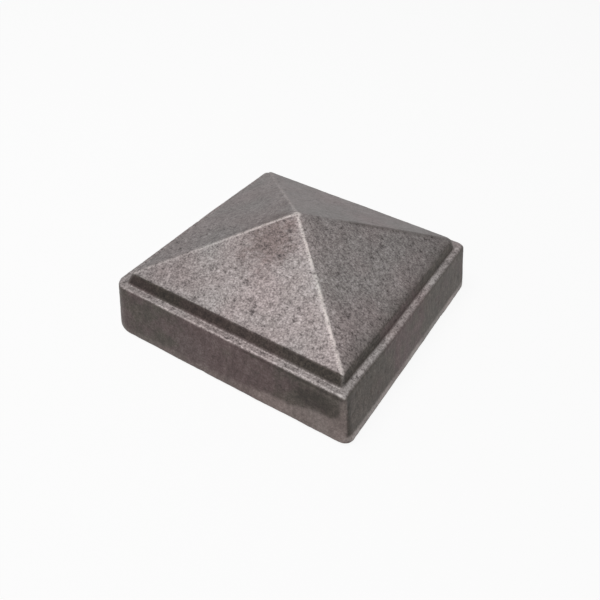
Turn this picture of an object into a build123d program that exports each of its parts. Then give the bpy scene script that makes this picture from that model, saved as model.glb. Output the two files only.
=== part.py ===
from build123d import *
import os
from math import atan2, cos, radians, tan

# Pyramid post cap: one hollow iron casting that slips over the top of a square post.
# A drafted skirt carries a narrow ledge, a low riser and a four-sided pyramid roof, and
# a core leaves the underside open, so that the iron has an even wall under the roof.
# Lengths are in millimetres and angles in degrees. +Z is up, and the origin is at the
# middle of the rim's plane.

# The post, and the socket that goes over it
post_side = 50.0
post_clearance = 0.5
socket_draft = 1.5

# Skirt, measured where it meets the ledge
wall = 4.5
skirt_height = 11.5
skirt_draft = 7.0
skirt_corner = 2.4

# Ledge and riser
ledge_width = 2.4
riser_height = 2.2
riser_draft = 21.0

# Pyramid roof, which ends in a small blunt peak
roof_rise = 11.4
roof_thickness = 4.5
peak_side = 1.6

# Rounded edges, as the mould leaves them
rim_round = 0.8
mouth_round = 0.7
ledge_round = 1.2
foot_cove = 0.6
crown_round = 1.2
peak_round = 0.5
core_round = 1.2

# Outlines of the skirt, from the socket outwards
socket_side = post_side + 2 * post_clearance
ledge_side = socket_side + 2 * wall
skirt_spread = skirt_height * tan(radians(skirt_draft))
rim_side = ledge_side + 2 * skirt_spread

# Outlines of the riser and the roof, from the ledge inwards
foot_side = ledge_side - 2 * ledge_width
eaves_side = foot_side - 2 * riser_height * tan(radians(riser_draft))
eaves_height = skirt_height + riser_height
peak_height = eaves_height + roof_rise
roof_pitch = atan2(roof_rise, (eaves_side - peak_side) / 2)

# The ceiling runs parallel to the roof, down to where it meets the socket's walls
ceiling_peak = peak_height - roof_thickness / cos(roof_pitch)
ceiling_eaves = ceiling_peak - (socket_side - peak_side) / 2 * tan(roof_pitch)
mouth_side = socket_side + 2 * ceiling_eaves * tan(radians(socket_draft))


def square_solid(profile):
    """Fills the form that shows the same profile from the front and from the side.

    profile holds the points of its right half, as (distance from the axis, height),
    from the bottom to the top.
    """
    reach = max(distance for distance, height in profile)
    for view, mode in ((Plane.XZ, Mode.ADD), (Plane.YZ, Mode.INTERSECT)):
        with BuildSketch(view) as outline:
            with BuildLine():
                Polyline((0, profile[0][1]), *profile, (0, profile[-1][1]))
                mirror(about=Plane.YZ)
            make_face()
        extrude(outline.sketch, amount=reach, both=True, mode=mode)


# The core has the shape of the hollow: a socket that widens to its mouth, under a ceiling
with BuildPart() as core:
    square_solid([(mouth_side / 2, 0), (socket_side / 2, ceiling_eaves), (peak_side / 2, ceiling_peak)])
    corners, eaves, hips = core.edges().group_by(Axis.Z)[1:-1]
    fillet(corners + eaves + hips, core_round)

# Riser and roof, rounded alike along every edge above the ledge
with BuildPart() as crown:
    square_solid([(foot_side / 2, skirt_height), (eaves_side / 2, eaves_height), (peak_side / 2, peak_height)])
    corners, eaves, hips = crown.edges().group_by(Axis.Z)[1:-1]
    fillet(corners + eaves + hips, crown_round)
    fillet(crown.edges().group_by(Axis.Z)[-1], peak_round)

with BuildPart() as post_cap:
    # Skirt, widest at its rim
    with BuildSketch(Plane.XY):
        RectangleRounded(rim_side, rim_side, skirt_corner + skirt_spread)
    extrude(amount=skirt_height, taper=skirt_draft)
    fillet(post_cap.edges().group_by(Axis.Z)[0], rim_round)
    fillet(post_cap.edges().group_by(Axis.Z)[-1], ledge_round)

    # Riser and roof, with a cove where they stand on the ledge
    add(crown.part)
    ledge = post_cap.faces().filter_by(Axis.Z).group_by(Axis.Z)[1][0]
    fillet(ledge.inner_wires()[0].edges(), foot_cove)

    # Hollow underside
    add(core.part, mode=Mode.SUBTRACT)
    rim = post_cap.faces().filter_by(Axis.Z).group_by(Axis.Z)[0][0]
    fillet(rim.inner_wires()[0].edges(), mouth_round)

post_cap.part.label = "post_cap"
os.makedirs("parts", exist_ok=True)
export_step(post_cap.part, "parts/post_cap.step")
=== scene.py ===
from math import cos, hypot, pi, radians, sin, tan
from types import SimpleNamespace

import bpy
import numpy as np
from mathutils import Matrix, Vector, noise


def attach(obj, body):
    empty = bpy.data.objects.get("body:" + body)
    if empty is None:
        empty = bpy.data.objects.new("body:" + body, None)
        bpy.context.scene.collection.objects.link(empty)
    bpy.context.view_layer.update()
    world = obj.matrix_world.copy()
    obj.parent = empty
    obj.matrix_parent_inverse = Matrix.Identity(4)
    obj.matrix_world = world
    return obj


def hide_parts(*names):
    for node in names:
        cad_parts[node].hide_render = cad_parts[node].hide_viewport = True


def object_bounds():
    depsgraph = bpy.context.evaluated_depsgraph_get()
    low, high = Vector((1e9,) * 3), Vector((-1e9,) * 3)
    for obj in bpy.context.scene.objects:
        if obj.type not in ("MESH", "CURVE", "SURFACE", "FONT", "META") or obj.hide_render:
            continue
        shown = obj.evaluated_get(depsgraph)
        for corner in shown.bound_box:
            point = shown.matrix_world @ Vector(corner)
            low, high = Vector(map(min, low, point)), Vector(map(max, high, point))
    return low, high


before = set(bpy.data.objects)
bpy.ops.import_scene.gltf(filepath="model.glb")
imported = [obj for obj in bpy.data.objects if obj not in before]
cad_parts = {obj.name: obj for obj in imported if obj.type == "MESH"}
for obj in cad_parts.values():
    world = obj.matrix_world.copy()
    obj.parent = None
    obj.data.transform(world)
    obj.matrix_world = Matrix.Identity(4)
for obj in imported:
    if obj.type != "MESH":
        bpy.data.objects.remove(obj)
cad_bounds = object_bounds()

# The scene dresses the pyramid post cap as a rough sand casting of iron. Its skin is built as
# square rings round the post's axis: from the middle of the ceiling out and down the socket,
# across the rim, up the skirt and over the ledge and riser to the peak. The rings are then
# raised and sunk the way sand leaves the metal. Sizes are in millimetres, and the mesh is
# scaled to metres.
MM = 0.001

LEDGE_HEIGHT = 11.5
EAVES_HEIGHT = 13.7
PEAK_HEIGHT = cad_bounds[1][2] / MM
CEILING_PEAK = 20.18
PEAK_FLAT = 0.8
PEAK_OFFSET = (-1.1, -0.6)

# Half sections, whose corners are each a half side, a height and a round along the edge. The
# sides of the outside differ a little, as in the photo: the ledge is crisp on the front, and
# its edge is soft on the right.
SOCKET = [(25.50, 9.27, 1.2), (25.74, 0.00, 0.7)]
SIDES = {
    "front": [
        (31.41, 0.00, 0.5), (29.60, LEDGE_HEIGHT, 0.55),
        (27.93, LEDGE_HEIGHT, 0.4), (26.57, 13.90, 0.4),
    ],
    "right": [
        (31.41, 0.00, 0.6), (28.82, LEDGE_HEIGHT, 1.0),
        (27.28, LEDGE_HEIGHT, 0.6), (26.65, 13.70, 1.2),
    ],
    "back": [
        (31.41, 0.00, 0.7), (29.85, LEDGE_HEIGHT, 1.0),
        (27.50, LEDGE_HEIGHT, 0.6), (26.95, 13.60, 0.8),
    ],
    "left": [
        (31.20, 0.00, 0.5), (29.92, LEDGE_HEIGHT, 0.6),
        (27.90, LEDGE_HEIGHT, 0.5), (26.75, 13.80, 0.5),
    ],
}

# Places of a side's first corners in its half section
RIM, LEDGE, FOOT = range(3)

# Radii in plan of the left, front, right and back corners, in the same order
SOCKET_RADII = [(1.2, 1.2, 1.2, 1.2)] * 2
OUTSIDE_RADII = [
    (6.0, 2.4, 4.4, 3.4), (3.3, 0.5, 1.4, 1.2), (1.5, 0.35, 2.0, 0.9), (1.0, 0.35, 1.9, 0.5),
]
HIP_RADIUS = 0.4

# Steps between the rows of a half section: the straight before each corner, and each round
SOCKET_STEPS = (0, 15)
RIM_STEPS = 12
OUTSIDE_STEPS = (0, 31, 6, 6)
ROUND_STEPS = 5

# Rings of 8 points for each step out from the middle, so roof and ceiling are even grids
ROOF_STEPS = 84
CEILING_STEPS = 42

# Directions of the corners as seen from above: 0 is the front, and 90 the right. The front hip
# is the one nearest the camera.
FRONT_HIP, LEFT_HIP, BACK_HIP, RIGHT_HIP = 45, -45, -135, 135

# Hips bright with wear and painted highlight, with their strengths, and their widths near the
# peak and lower down
RUBBED_AND_HIGHLIT_HIPS = [
    (FRONT_HIP, 1.0, (0.26, 0.36)), (LEFT_HIP, 0.8, (0.34, 0.34)), (BACK_HIP, 0.35, (0.3, 0.3)),
]

# How far from the axis the faint painted highlight on the right ledge runs
RIGHT_LEDGE_MIDDLE = 27.93

# Stops along x on the front, or along y on the right: the height and the strength of the rim's
# light strip of ground metal and painted bounce light, and how warm the mould skin is
STRIP_TOP = [
    (-31, 1.7), (-5, 2.0), (3, 2.4), (10, 2.9), (14, 3.3),
    (17, 3.4), (22, 4.2), (27, 5.3), (29.5, 9.0), (31, 12.0),
]
STRIP_STRENGTH = [(-31, 0.5), (-5, 0.55), (6, 0.75), (14, 1.0)]
FRONT_WARMTH = [(-31, 0.55), (-16, 0.4), (-8, 0.95), (10, 0.75), (18, 0.25), (31, 0.2)]
RIGHT_WARMTH = [(-31, 0.0), (-14, 0.1), (-8, 0.65), (0, 0.5), (8, 0.1), (31, 0.2)]

# The floor lies just under the rim, so that the two surfaces don't share a plane
FLOOR_HEIGHT = -0.05
FLOOR_HALF_SIDE = 1500

# Both lamps are squares, as far from the cap
LAMP_SIZE = 300
LAMP_DISTANCE = 500


def smooth_step(low, high, values):
    """A soft rise from 0 at low to 1 at high."""
    share = np.clip((values - low) / (high - low), 0, 1)
    return share * share * (3 - 2 * share)


def smooth_fall(low, high, values):
    """A soft fall from 1 at low to 0 at high."""
    return 1 - smooth_step(low, high, values)


def band(rise, fall, values):
    """1 between a rise and a fall, which are each a pair of values, and 0 outside them."""
    return smooth_step(*rise, values) * smooth_fall(*fall, values)


def between(stops, places):
    """Values along straight lines between stops, which are each a place and its value."""
    return np.interp(places, *zip(*stops))


def rounded(before, corner, after):
    """The arc that rounds one corner of a half section, as rows of half side and height."""
    place = Vector(corner[:2])
    back = (Vector(before[:2]) - place).normalized()
    ahead = (Vector(after[:2]) - place).normalized()
    half_angle = back.angle(ahead) / 2
    middle = place + (back + ahead).normalized() * corner[2] / sin(half_angle)
    first = place + back * corner[2] / tan(half_angle) - middle
    last = place + ahead * corner[2] / tan(half_angle) - middle
    spokes = [first.slerp(last, step / ROUND_STEPS) for step in range(ROUND_STEPS + 1)]
    return [np.array(middle + spoke * corner[2]) for spoke in spokes]


def straight(low, high, steps):
    """The rows strictly between two rows of a half section."""
    return [low + (high - low) * step / steps for step in range(1, steps)]


def half_section(before, corners, after, radii, steps):
    """Rows of half side, height and corner radii along a half section, from before to after."""
    path = [before, *corners, after]
    rows = []
    for index, count in enumerate(steps):
        arc = [np.append(place, radii[index]) for place in rounded(*path[index:index + 3])]
        if rows:
            rows += straight(rows[-1], arc[0], count)
        rows += arc
    return rows


def ring(row, steps):
    """Points evenly spaced round a rounded square, from the middle of its left corner."""
    half_side, height, *radii = row
    outline = []
    for side in range(4):
        first, last = radii[side], radii[(side + 1) % 4]
        run = 2 * half_side - first - last
        length = run + pi / 4 * (first + last)
        turned = np.linalg.matrix_power(np.array([[0, 1], [-1, 0]]), side)
        for index in range(2 * steps):
            way = index / (2 * steps) * length - pi / 4 * first
            if way < 0:
                turn = way / first
                point = (
                    first - half_side + first * sin(turn),
                    first - half_side - first * cos(turn),
                )
            elif way <= run:
                point = (first - half_side + way, -half_side)
            else:
                turn = (way - run) / last
                point = (
                    half_side - last + last * sin(turn),
                    last - half_side - last * cos(turn),
                )
            outline.append(point @ turned)
    return np.column_stack([outline, np.full(len(outline), height)])


def pyramid_rings(edge, peak_height, steps):
    """Rings from a pyramid's edge, the last row of its half section, in to its blunt peak."""
    slope = (peak_height - edge[1]) / (hypot(edge[0], PEAK_FLAT) - PEAK_FLAT)
    rings = []

    # The radii of the corners ease into those of the hips over the first 2 mm, and fit small rings
    for step in range(steps - 1, 0, -1):
        half_side = edge[0] * step / steps
        height = peak_height + slope * (PEAK_FLAT - hypot(half_side, PEAK_FLAT))
        near_edge = max(0, 1 - (edge[0] - half_side) / 2)
        radii = np.minimum(HIP_RADIUS + (edge[2:] - HIP_RADIUS) * near_edge, half_side * 0.8)
        rings.append(ring((half_side, height, *radii), step))
    return rings + [np.array([[0, 0, peak_height]])]


def level_band(first, second, count):
    """Quads between two rings of the same number of points."""
    return [
        (first + i, first + (i + 1) % count, second + (i + 1) % count, second + i)
        for i in range(count)
    ]


def doubling_band(inner, outer, count):
    """Triangles between a ring of count points and an outer one of twice as many."""
    faces = []
    for i in range(count):
        start, end = inner + i, inner + (i + 1) % count
        around = outer + 2 * i, outer + 2 * i + 1, outer + (2 * i + 2) % (2 * count)
        faces += [
            (start, around[1], around[0]),
            (start, end, around[1]),
            (end, around[2], around[1]),
        ]
    return faces


def grid_band(outer, inner, steps):
    """Quads between a ring of 8 × steps points and the next one in, or the middle point."""
    faces = []
    many, few = 8 * steps, max(1, 8 * (steps - 1))
    for side in range(4):
        start, inner_start = 2 * steps * side, 2 * (steps - 1) * side
        before = (start - 1) % many
        corner = inner + inner_start % few
        faces.append((outer + before, outer + start, outer + start + 1, corner))
        for step in range(1, 2 * steps - 1):
            faces.append((
                outer + start + step,
                outer + (start + step + 1) % many,
                inner + (inner_start + step) % few,
                inner + inner_start + step - 1,
            ))
    return faces


def side_shares(x, y):
    """How much each side of the cap counts at each point, with a soft change at the corners."""
    right_or_back = smooth_step(-2.5, 2.5, x + y)
    back_or_left = smooth_step(-2.5, 2.5, y - x)
    return {
        "front": (1 - right_or_back) * (1 - back_or_left),
        "right": right_or_back * (1 - back_or_left),
        "back": right_or_back * back_or_left,
        "left": (1 - right_or_back) * back_or_left,
    }


def outside_rings(corners, socket_end):
    """Rings from the socket's mouth across the rim, up the outside and in to the peak."""
    peak = (PEAK_FLAT, PEAK_HEIGHT)
    rows = half_section(SOCKET[-1], corners, peak, OUTSIDE_RADII, OUTSIDE_STEPS)
    rows = straight(socket_end, rows[0], RIM_STEPS) + rows
    rings = [ring(row, ROOF_STEPS) for row in rows]
    return rings + pyramid_rings(rows[-1], PEAK_HEIGHT, ROOF_STEPS)


def casting_skin():
    """Points and faces of the whole casting, from the ceiling's middle round to the peak."""
    peak, rim = (PEAK_FLAT, CEILING_PEAK), SIDES["front"][RIM]
    socket = half_section(peak, SOCKET, rim, SOCKET_RADII, SOCKET_STEPS)
    parts = pyramid_rings(socket[0], CEILING_PEAK, CEILING_STEPS)[::-1]
    parts += [ring(row, CEILING_STEPS) for row in socket]

    # Each ring takes the place and the height of each side from that side's half section
    for rings in zip(*(outside_rings(corners, socket[-1]) for corners in SIDES.values())):
        front, right, back, left = rings
        x = np.where(front[:, 0] > 0, right[:, 0], left[:, 0])
        y = np.where(front[:, 1] > 0, back[:, 1], front[:, 1])
        z = sum(share * points[:, 2] for share, points in zip(side_shares(x, y).values(), rings))
        parts.append(np.column_stack([x, y, z]))

    starts = np.cumsum([0] + [len(points) for points in parts])
    faces = []
    for index in range(len(parts) - 1):
        first, second = int(starts[index]), int(starts[index + 1])
        few, many = sorted((len(parts[index]), len(parts[index + 1])))
        if few == many:
            faces += level_band(first, second, few)
        elif many == 2 * few and few > 8:
            faces += doubling_band(first, second, few)
        elif len(parts[index]) == many:
            faces += grid_band(first, second, many // 8)
        else:
            faces += [face[::-1] for face in grid_band(second, first, many // 8)]
    return np.concatenate(parts), faces


def lumps(points, size, shift):
    """Smooth noise at each point, with lumps about size millimetres across. The shift picks
    another stretch of it."""
    offset = Vector((shift, 2 * shift, 3 * shift))
    return np.array([noise.noise(Vector(point) / size + offset) for point in points])


def sand_pits(points, spacing, radius, chance):
    """Depth from 0 to 1 of small round pits, scattered about spacing millimetres apart."""
    depths = []

    # A number drawn at each pit's centre keeps the pit or leaves it out
    for point in points:
        distances, centres = noise.voronoi(Vector(point) / spacing)
        kept = noise.cell(centres[0] * 7.3) < chance
        depths.append(max(0, 1 - distances[0] * spacing / radius) if kept else 0)
    return np.array(depths) ** 0.5


def towards(x, y, azimuth):
    """How far the direction of x and y turns to an azimuth, from -1 to 1."""
    turn = radians(azimuth)
    return (x * sin(turn) - y * cos(turn)) / np.maximum(np.hypot(x, y), 0.01)


def measures(points, normals, inside):
    """What the marks go by, at each point of the smooth shape: places, noise, parts and sides."""
    x, y, z = points.T
    reach = np.maximum(abs(x), abs(y))
    broad = lumps(points, 6.0, 11.3)
    fine = lumps(points, 1.1, 4.9)
    share = side_shares(x, y)

    # The skirt's upright edge nearest the camera, on its front side, which takes painted light
    corner_x, corner_y = (
        between([(0, SIDES[side][RIM][0]), (LEDGE_HEIGHT, SIDES[side][LEDGE][0])], z)
        for side in ("right", "front")
    )
    from_corner = np.hypot(x - corner_x, y + corner_y) + 0.3 * fine
    front_corner = smooth_fall(0.9, 1.9, from_corner) * smooth_fall(-0.4, 0.4, x + y)

    # Mould skin and painted shade keep the upright faces dark, with a soft end on the right and the
    # front's left
    soft = np.maximum(share["right"], share["front"] * smooth_step(-5, 12, -x))
    skin = smooth_fall(0.35 + 0.1 * soft, 0.8 + 0.2 * soft, normals[:, 2])
    return SimpleNamespace(
        x=x, y=y, z=z, reach=reach, broad=broad, fine=fine,
        from_axis=np.hypot(x, y),
        from_hip=abs(abs(x) - abs(y)) / 2 ** 0.5 + 0.12 * fine,
        front_corner=front_corner,
        skin=skin,
        upright=skin > 0.5,
        outside=~inside,
        roof=(z > EAVES_HEIGHT - 0.2) & ~inside,
        riser=band((11.6, 12.2), (13.2, 14.2), z) * (reach > 26) * ~inside,
        **share,
    )


def rubbed_and_painted_highlights(at):
    """The hips, the peak and some edges, rubbed bright and with painted highlights, and a line of
    painted bounce light.
    """
    hips = np.zeros(len(at.x))
    for azimuth, strength, widths in RUBBED_AND_HIGHLIT_HIPS:
        width = np.interp(at.from_axis, [4, 16], widths)
        near = smooth_step(0.9, 0.97, towards(at.x, at.y, azimuth))
        hips += strength * near * smooth_fall(0.5 * width, 1.5 * width, at.from_hip)
    hips *= np.where(at.x < 0, 1 - 0.5 * smooth_step(8, 26, at.from_axis), 1)
    hips *= smooth_step(13.4, 14.0, at.z)
    peak = 0.8 * smooth_fall(0.4, 1.3, at.from_axis)
    grainy = np.clip(1.0 + 1.0 * at.fine + 0.4 * at.broad, 0.3, 1)
    roof = np.maximum(hips, peak) * at.roof * grainy

    # Wear and painted highlight on the ledge's front edge, in places, and a faint painted highlight
    # along the middle of the right ledge
    across, above = at.y + SIDES["front"][LEDGE][0] - 0.2, at.z - LEDGE_HEIGHT + 0.1
    front_edge = smooth_fall(0.15, 0.5, np.hypot(across, above) + 0.15 * at.fine) * at.front
    front_edge *= np.clip(0.6 * at.broad + 0.5 * at.front_corner, 0, 1)
    right_ledge = smooth_fall(0.2, 0.6, abs(at.reach - RIGHT_LEDGE_MIDDLE) + 0.15 * at.fine)
    right_ledge *= 0.1 * at.right * (abs(at.z - LEDGE_HEIGHT) < 0.4)

    # Painted bounce light in a line along the right rim, and a painted highlight on the riser's
    # corner nearest the camera
    right_rim = band((0.5, 0.9), (1.5, 2.4), at.z) * at.right
    right_rim *= np.clip(0.35 + 0.2 * at.broad, 0, 1)
    riser_corner = (at.z > LEDGE_HEIGHT + 0.2) & (at.reach > 25.8) & (at.from_hip < 0.35)
    riser_corner = 0.15 * (riser_corner & (towards(at.x, at.y, FRONT_HIP) > 0.9))
    return np.maximum.reduce([roof, front_edge, right_ledge, right_rim, riser_corner]) * at.outside


def rim_strip_and_bounce_light(at):
    """The rim's strip of ground metal and painted bounce light, which climbs along the front to the
    front corner.
    """
    on_front = at.front > 0.5
    top = np.where(on_front, between(STRIP_TOP, at.x), np.where(at.right > 0.5, 1.9, 1.2))
    top = top + np.minimum(0.2 * top, 0.9) * at.broad + 0.3 * at.fine
    strength = np.where(on_front, between(STRIP_STRENGTH, at.x), 1)
    strip = smooth_fall(top - 0.6, top + 0.6, at.z) * np.clip(0.9 + 0.6 * at.broad, 0.4, 1)
    # Painted light on the skirt's corner nearest the camera
    return np.maximum(strip * strength, 0.6 * at.front_corner) * at.upright * at.outside


def rusty_stain(at):
    """A faint rusty stain below the peak on the front face."""
    from_middle = np.hypot((at.x + 2.6) / 6.5, (at.y + 8.0) / 9.5) + 0.35 * at.broad + 0.4 * at.fine
    return smooth_fall(0.3, 1.2, from_middle) * at.roof


def painted_shade_and_dark_marks(at):
    """Painted shade in the riser's recess and in smaller marks on the front, the right and the
    roof, and a few darker marks.
    """
    recess = at.riser * (0.3 + 0.9 * at.front)

    # Front: painted shade beside the riser's foot and under the ledge's edge, and a dark blotch
    # above the rim's strip
    from_foot = -at.y - SIDES["front"][FOOT][0] + 0.3 * at.fine
    front_foot = smooth_fall(0.1, 0.6, from_foot) * at.front * (at.reach > 27.5)
    front_foot *= 0.2 * (at.z < 12) * (at.skin < 0.5) * at.outside
    from_blotch = np.hypot((at.x - 22.5) / 6.0, (at.z - 7.5) / 3.2) + 0.35 * at.broad
    blotch = 0.7 * smooth_fall(0.5, 1.1, from_blotch) * at.front * at.upright
    under_edge = 0.6 * band((10.2, 10.7), (10.9, 11.2), at.z) * (at.x > 5) * at.front * at.upright

    # Right: painted shade beside the riser's foot and round the bottom of the rim, and darker
    # beside the skirt's corner
    right_foot = smooth_fall(27.05, 27.65, at.reach + 0.2 * at.fine) * at.right
    right_foot *= 0.6 * (at.reach > 26.5) * (at.z < 12) * at.outside
    right_rim = 0.5 * smooth_fall(0.1, 0.4, at.z) * at.right * at.outside
    past_corner = at.x + at.y
    right_corner = smooth_step(-0.3, 0.3, past_corner + 0.2 * at.fine)
    right_corner *= 0.5 * smooth_fall(1.0, 2.0, past_corner) * (at.x > 27) * at.upright

    # Roof: painted shade towards the right eaves, and darker along the right hip
    eaves = 0.6 * at.right * at.roof * smooth_step(23.5, 27.0, at.reach + 0.6 * at.broad)
    right_hip = smooth_fall(0.3, 1.2, at.from_hip) * smooth_step(5, 14, at.from_axis)
    right_hip *= 0.5 * (towards(at.x, at.y, RIGHT_HIP) > 0.9) * at.roof
    front = [recess, front_foot, blotch, under_edge]
    return np.maximum.reduce([*front, right_foot, right_rim, right_corner, eaves, right_hip])


def grit_strength(at):
    """How grainy the skin is. Grit shows most on the front and the right."""
    left = 1 - 0.4 * smooth_step(-14, 10, at.y)
    level = at.front + at.right + 0.5 * at.back + left * at.left
    return np.where(at.upright, np.where(at.riser > 0.3, 1.0, 0.65), level)


def painted_face_light_and_shade(at):
    """Painted light and shade on bare iron, face by face: most on the ledge, least on the roof's
    faces behind.
    """
    behind = at.back + at.left
    front = 0.84 - 0.13 * smooth_step(6, 22, -at.x)
    right = 0.80 - 0.12 * smooth_step(-5, 22, at.y)
    near_hip = smooth_fall(0.4, 4.0, at.from_hip)
    # Painted light on the right face beside the front hip
    right += 0.2 * near_hip * smooth_step(0.8, 0.95, towards(at.x, at.y, FRONT_HIP))
    roof = front * at.front + right * at.right + 0.61 * behind
    return np.where(at.roof, roof, 0.97 - 0.2 * behind)


def skin_warmth(at):
    """Mould skin is warm in the middle of each side, and olive near the front corner."""
    on_side = np.where(at.right > 0.5, between(RIGHT_WARMTH, at.y), 0.5)
    on_side = np.where(at.front > 0.5, between(FRONT_WARMTH, at.x), on_side)
    on_roof = 0.6 * at.front * smooth_step(-20, 0, at.x) + 0.3 * (1 - at.front)
    return np.where(at.roof, on_roof, on_side)


def sand_relief(points, at, grit):
    """How far the sand leaves each point standing out, in millimetres, and the relief's mark."""
    swell = lumps(points, 9.0, 1.7) + 0.6 * lumps(points, 4.5, 5.3)
    coarse = lumps(points, 1.6, 3.1)
    grain = lumps(points, 0.75, 8.7)
    pits = sand_pits(points, 2.6, 0.55, 0.35)
    height = 0.08 * swell + 0.02 * coarse + (0.05 * grain - 0.20 * pits) * grit - 0.05

    # The rim is ground nearly flat underneath
    height[(at.z < 0.05) & at.outside] *= 0.2
    return height, 0.5 + 0.25 * coarse + 0.6 * grain - 0.8 * pits * grit


def bend_outside(shaped, at):
    """Draws in the front's rim and the right side's top near the front corner, and the left side
    near the back one, and moves the peak off the middle."""
    up_skirt = np.clip(at.z / LEDGE_HEIGHT, 0, 1)
    shaped[:, 1] += 0.3 * smooth_step(5, 30, at.x) * (1 - up_skirt) * at.front * at.outside
    near_front_corner = smooth_step(5, 28, -at.y) * smooth_step(0, 24, at.x)
    shaped[:, 0] -= 0.45 * near_front_corner * up_skirt * at.outside
    shaped[:, 0] += 0.4 * smooth_step(5, 30, at.y) * smooth_fall(-28, -18, at.x) * at.outside
    up_roof = np.clip((at.z - EAVES_HEIGHT) / (PEAK_HEIGHT - EAVES_HEIGHT), 0, 1)
    shaped[:, :2] += (up_roof * at.outside)[:, None] * PEAK_OFFSET


def build_casting():
    """The iron casting, with its sand-cast skin in the mesh, and its wear and its painted light and
    shade as attributes.
    """
    points, faces = casting_skin()
    mesh = bpy.data.meshes.new("iron_casting")
    mesh.from_pydata(points.tolist(), [], faces)
    mesh.update()
    normals = np.empty(len(points) * 3)
    mesh.vertices.foreach_get("normal", normals)
    normals = normals.reshape(-1, 3)

    # The socket and its ceiling, with a margin of 1 mm
    reach = abs(points[:, :2]).max(axis=1)
    ceiling = between([(PEAK_FLAT, CEILING_PEAK), SOCKET[0][:2]], reach)
    inside = (reach < SOCKET[1][0] + 1) & (points[:, 2] < ceiling + 1)

    # Wear, stains and painted light and shade, as values from 0 to 1 at each point
    at = measures(points, normals, inside)
    marks = {
        "rubbed_and_highlight": rubbed_and_painted_highlights(at),
        "skin": at.skin,
        "ground_and_bounce_light": rim_strip_and_bounce_light(at),
        "stain": rusty_stain(at),
        "shade_and_dark_marks": painted_shade_and_dark_marks(at),
        "grit": grit_strength(at),
        "painted_face_light": painted_face_light_and_shade(at),
        "warmth": skin_warmth(at),
    }

    height, marks["relief"] = sand_relief(points, at, marks["grit"])
    shaped = points + normals * height[:, None]
    bend_outside(shaped, at)
    low, high = (np.array(corner) / MM for corner in cad_bounds)
    shaped = np.clip(shaped, low, high)
    mesh.vertices.foreach_set("co", (shaped * MM).ravel())
    mesh.update()

    for name, values in marks.items():
        attribute = mesh.attributes.new(name, "FLOAT", "POINT")
        attribute.data.foreach_set("value", values.astype(np.float32))
    for polygon in mesh.polygons:
        polygon.use_smooth = True
    casting = bpy.data.objects.new("iron_casting", mesh)
    bpy.context.scene.collection.objects.link(casting)
    return casting


def colour(code):
    """An sRGB hex value as linear red, green, blue and alpha."""
    parts = [int(code[place:place + 2], 16) / 255 for place in (0, 2, 4)]
    linear = [
        part / 12.92 if part <= 0.04045 else ((part + 0.055) / 1.055) ** 2.4 for part in parts
    ]
    return (*linear, 1)


def node(tree, kind, inputs=(), stops=(), **settings):
    """Adds a node with its settings and stops, sets or links its inputs, and gives its outputs."""
    made = tree.nodes.new(kind)
    for name, value in settings.items():
        setattr(made, name, value)
    for index, (position, code) in enumerate(stops):
        elements = made.color_ramp.elements
        stop = elements[index] if index < 2 else elements.new(1.0)
        stop.position = position
        stop.color = colour(code)
    for name, value in dict(inputs).items():
        if isinstance(value, bpy.types.NodeSocket):
            tree.links.new(value, made.inputs[name])
        else:
            made.inputs[name].default_value = value
    return made.outputs


def empty_material(name):
    """A material without nodes."""
    made = bpy.data.materials.new(name)
    made.use_nodes = True
    made.node_tree.nodes.clear()
    return made


def per_metre(size):
    """The scale of a noise texture whose lumps are size millimetres across."""
    return 1 / (size * MM)


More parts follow.
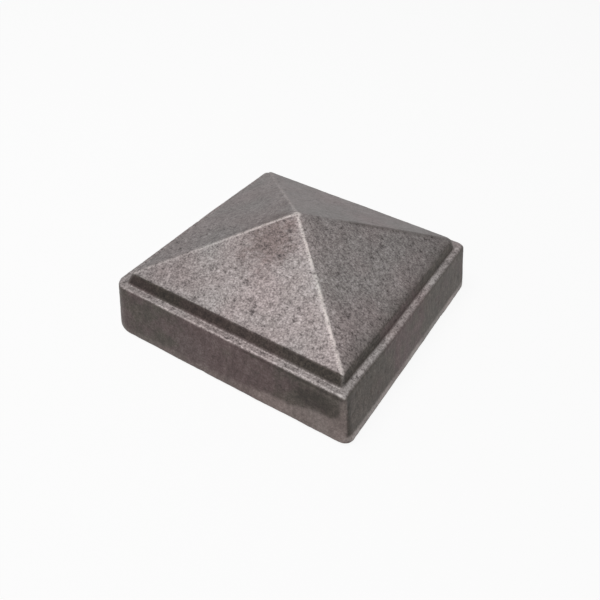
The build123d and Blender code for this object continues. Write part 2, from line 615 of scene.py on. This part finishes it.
def cast_iron():
    """Grey iron as sand-cast: grainy and dull, dark with mould skin and painted shade on its
    upright faces, and bright where it has rubbed or been ground, with painted highlights and bounce
    light."""
    made = empty_material("grey_iron_sand_cast")
    tree = made.node_tree
    place = node(tree, "ShaderNodeTexCoord")["Object"]
    mark = {
        name: node(tree, "ShaderNodeAttribute", attribute_name=name)["Fac"]
        for name in (
            "relief", "rubbed_and_highlight", "skin", "ground_and_bounce_light", "stain", "shade_and_dark_marks", "grit", "painted_face_light", "warmth",
        )
    }

    # Noise of grit, sand of 0.2 to 0.4 mm, of runs down the sides, and of patches and broad stains
    drawn = node(tree, "ShaderNodeMapping", {"Vector": place, "Scale": (1.0, 1.0, 0.35)})["Vector"]
    texture = {
        name: node(tree, "ShaderNodeTexNoise", {
            "Vector": vector, "Scale": per_metre(size), "Detail": detail, "Roughness": 0.6,
        })["Fac"]
        for name, vector, size, detail in (
            ("grit", place, 0.4, 2.0),
            ("run", drawn, 1.3, 3.0),
            ("patch", place, 5.0, 3.0),
            ("broad", place, 13.0, 1.0),
        )
    }

    # Speckle from the grit and the relief together, about a middle of 0.5
    grain = node(tree, "ShaderNodeMath", {
        0: mark["relief"], 1: 0.26, 2: texture["grit"],
    }, operation="MULTIPLY_ADD")
    grain = node(tree, "ShaderNodeMath", {0: grain[0], 1: 0.63}, operation="SUBTRACT")
    strength = node(tree, "ShaderNodeMath", {0: mark["grit"], 1: 0.97}, operation="MULTIPLY")
    speckle = node(tree, "ShaderNodeMath", {
        0: grain[0], 1: strength[0], 2: 0.5,
    }, operation="MULTIPLY_ADD")[0]
    uneven = node(tree, "ShaderNodeMath", {
        0: texture["run"], 1: 0.4, 2: speckle,
    }, operation="MULTIPLY_ADD")
    uneven = node(tree, "ShaderNodeMath", {0: uneven[0], 1: 0.2}, operation="SUBTRACT")[0]

    # Bare grit on the top; warm and olive mould skin on the sides, darker there as painted shade;
    # and the rim's strip of ground metal and painted bounce light
    ramp = {
        name: node(tree, "ShaderNodeValToRGB", {"Fac": value}, zip((low, 0.5, 0.8), codes))[0]
        for name, value, low, codes in (
            ("grit", speckle, 0.22, ("463f3f", "9a9291", "cbc4c3")),
            ("warm", uneven, 0.2, ("413636", "695b5a", "908382")),
            ("olive", uneven, 0.2, ("383431", "5a534d", "827972")),
            ("ground_and_bounce_light", uneven, 0.2, ("655c59", "8c817d", "b1a7a3")),
        )
    }

    # A mix of colours takes its share in input 0 and its colours in 6 and 7, and gives output 2
    olive = node(tree, "ShaderNodeMath", {
        0: mark["warmth"], 1: -0.4, 2: texture["patch"],
    }, operation="MULTIPLY_ADD")
    olive = node(tree, "ShaderNodeMapRange", {"Value": olive[0], "From Min": 0.2, "From Max": 0.4})
    side = node(tree, "ShaderNodeMix", {
        0: olive[0], 6: ramp["warm"], 7: ramp["olive"],
    }, data_type="RGBA")
    # Painted light and shade on the bare iron, face by face
    top = node(tree, "ShaderNodeMix", {
        0: 1.0, 6: ramp["grit"], 7: mark["painted_face_light"],
    }, data_type="RGBA", blend_type="MULTIPLY")
    shade = node(tree, "ShaderNodeMix", {
        0: mark["skin"], 6: top[2], 7: side[2],
    }, data_type="RGBA")
    shade = node(tree, "ShaderNodeMix", {
        0: mark["ground_and_bounce_light"], 6: shade[2], 7: ramp["ground_and_bounce_light"],
    }, data_type="RGBA")

    # A rusty stain, painted shade and dark marks, and bright grains of wear and painted highlight
    for name, tint in (("stain", "cbc1bf"), ("shade_and_dark_marks", "a09b94")):
        shade = node(tree, "ShaderNodeMix", {
            0: mark[name], 6: shade[2], 7: colour(tint),
        }, data_type="RGBA", blend_type="MULTIPLY")
    kept = node(tree, "ShaderNodeMapRange", {
        "Value": texture["grit"], "From Min": 0.25, "From Max": 0.5,
    })
    bright = node(tree, "ShaderNodeMath", {0: mark["rubbed_and_highlight"], 1: kept[0]}, operation="MULTIPLY")
    shade = node(tree, "ShaderNodeMix", {
        0: bright[0], 6: shade[2], 7: colour("e6dfdc"),
    }, data_type="RGBA")

    # Slight changes of tone over the whole casting
    broad = node(tree, "ShaderNodeMath", {
        0: mark["warmth"], 1: 0.3, 2: texture["broad"],
    }, operation="MULTIPLY_ADD")
    for value, stops in (
        (broad[0], [(0.45, "f8fbfa"), (0.8, "fff9f9")]),
        (texture["patch"], [(0.3, "ebe9e8"), (0.7, "ffffff")]),
    ):
        tint = node(tree, "ShaderNodeValToRGB", {"Fac": value}, stops)
        shade = node(tree, "ShaderNodeMix", {
            0: 1.0, 6: shade[2], 7: tint[0],
        }, data_type="RGBA", blend_type="MULTIPLY")

    # Dull and only half metallic, because oxide and burnt sand cover the iron
    bump = node(tree, "ShaderNodeBump", {
        "Height": texture["grit"], "Distance": 0.05 * MM, "Strength": 0.6,
    })
    shader = node(tree, "ShaderNodeBsdfPrincipled", {
        "Base Color": shade[2], "Metallic": 0.45, "Roughness": 0.55, "Normal": bump[0],
    })
    node(tree, "ShaderNodeOutputMaterial", {"Surface": shader[0]})
    return made


def seen_directly(tree):
    """1 for rays from the camera, in reflections and through glass, and 0 for bounced light."""
    rays = node(tree, "ShaderNodeLightPath")
    seen = rays["Is Camera Ray"]
    for name in ("Is Glossy Ray", "Is Transmission Ray"):
        seen = node(tree, "ShaderNodeMath", {0: seen, 1: rays[name]}, operation="MAXIMUM")[0]
    return seen


def plain_floor():
    """A pale matt floor, near white to the camera and in reflections, and greyer as a bounce."""
    made = empty_material("pale_matt_floor")
    tree = made.node_tree
    seen = seen_directly(tree)
    paint = node(tree, "ShaderNodeMix", {
        0: seen, 6: colour("c4c2c0"), 7: colour("fcfcfc"),
    }, data_type="RGBA")
    matt = node(tree, "ShaderNodeBsdfDiffuse", {"Color": paint[2]})
    white = node(tree, "ShaderNodeEmission", {"Color": colour("ffffff"), "Strength": 1.0})
    share = node(tree, "ShaderNodeMath", {0: seen, 1: 0.9}, operation="MULTIPLY")
    mixed = node(tree, "ShaderNodeMixShader", {0: share[0], 1: matt[0], 2: white[0]})
    node(tree, "ShaderNodeOutputMaterial", {"Surface": mixed[0]})
    return made


def studio_world():
    """Soft grey room light, and white behind everything that is seen or reflected."""
    world = bpy.data.worlds.new("studio")
    bpy.context.scene.world = world
    world.use_nodes = True
    tree = world.node_tree
    tree.nodes.clear()
    room = node(tree, "ShaderNodeBackground", {"Color": colour("ffffff"), "Strength": 0.2})
    white = node(tree, "ShaderNodeBackground", {"Color": colour("ffffff"), "Strength": 1.0})
    mixed = node(tree, "ShaderNodeMixShader", {0: seen_directly(tree), 1: room[0], 2: white[0]})
    node(tree, "ShaderNodeOutputWorld", {"Surface": mixed[0]})


def soft_box(name, azimuth, elevation, power):
    """A square lamp that faces the cap, from an azimuth of 0 at the front and 90 at the right."""
    lamp = bpy.data.lights.new(name, "AREA")
    lamp.size = LAMP_SIZE * MM
    lamp.energy = power
    made = bpy.data.objects.new(name, lamp)
    turn, lift = radians(azimuth), radians(elevation)
    direction = Vector((sin(turn) * cos(lift), -cos(turn) * cos(lift), sin(lift)))
    made.location = direction * LAMP_DISTANCE * MM
    made.rotation_euler = direction.to_track_quat("Z", "Y").to_euler()
    bpy.context.scene.collection.objects.link(made)


def photo_camera():
    """The camera at the photograph's viewing angle."""
    azimuth, elevation, roll = radians(30.0), radians(41.37), radians(3.21)
    distance, slide, lift = 161.6 * MM, 0.47 * MM, 0.20 * MM
    lens = bpy.data.cameras.new("camera")
    lens.lens = 40.07
    lens.clip_start = 1 * MM
    made = bpy.data.objects.new("camera", lens)
    back = Vector((sin(azimuth) * cos(elevation), -cos(azimuth) * cos(elevation), sin(elevation)))
    right = Vector((cos(azimuth), sin(azimuth), 0))
    up = back.cross(right)
    place = back * distance + right * slide + up * lift
    right, up = right * cos(roll) + up * sin(roll), up * cos(roll) - right * sin(roll)
    made.matrix_world = Matrix.Translation(place) @ Matrix((right, up, back)).transposed().to_4x4()
    bpy.context.scene.collection.objects.link(made)
    bpy.context.scene.camera = made


def studio_floor():
    """A wide level floor, which isn't a piece of the cap."""
    mesh = bpy.data.meshes.new("floor")
    reach, height = FLOOR_HALF_SIDE * MM, FLOOR_HEIGHT * MM
    corners = [(-reach, -reach), (reach, -reach), (reach, reach), (-reach, reach)]
    mesh.from_pydata([(*corner, height) for corner in corners], [], [(0, 1, 2, 3)])
    mesh.materials.append(plain_floor())
    floor = bpy.data.objects.new("floor", mesh)
    bpy.context.scene.collection.objects.link(floor)


casting = build_casting()
casting.data.materials.append(cast_iron())
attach(casting, "root")
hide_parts("post_cap")

studio_floor()
studio_world()
soft_box("overhead_box", azimuth=-60, elevation=74, power=1.3)
soft_box("front_box", azimuth=0, elevation=45, power=0.2)
photo_camera()
bpy.context.scene.view_settings.view_transform = "Standard"
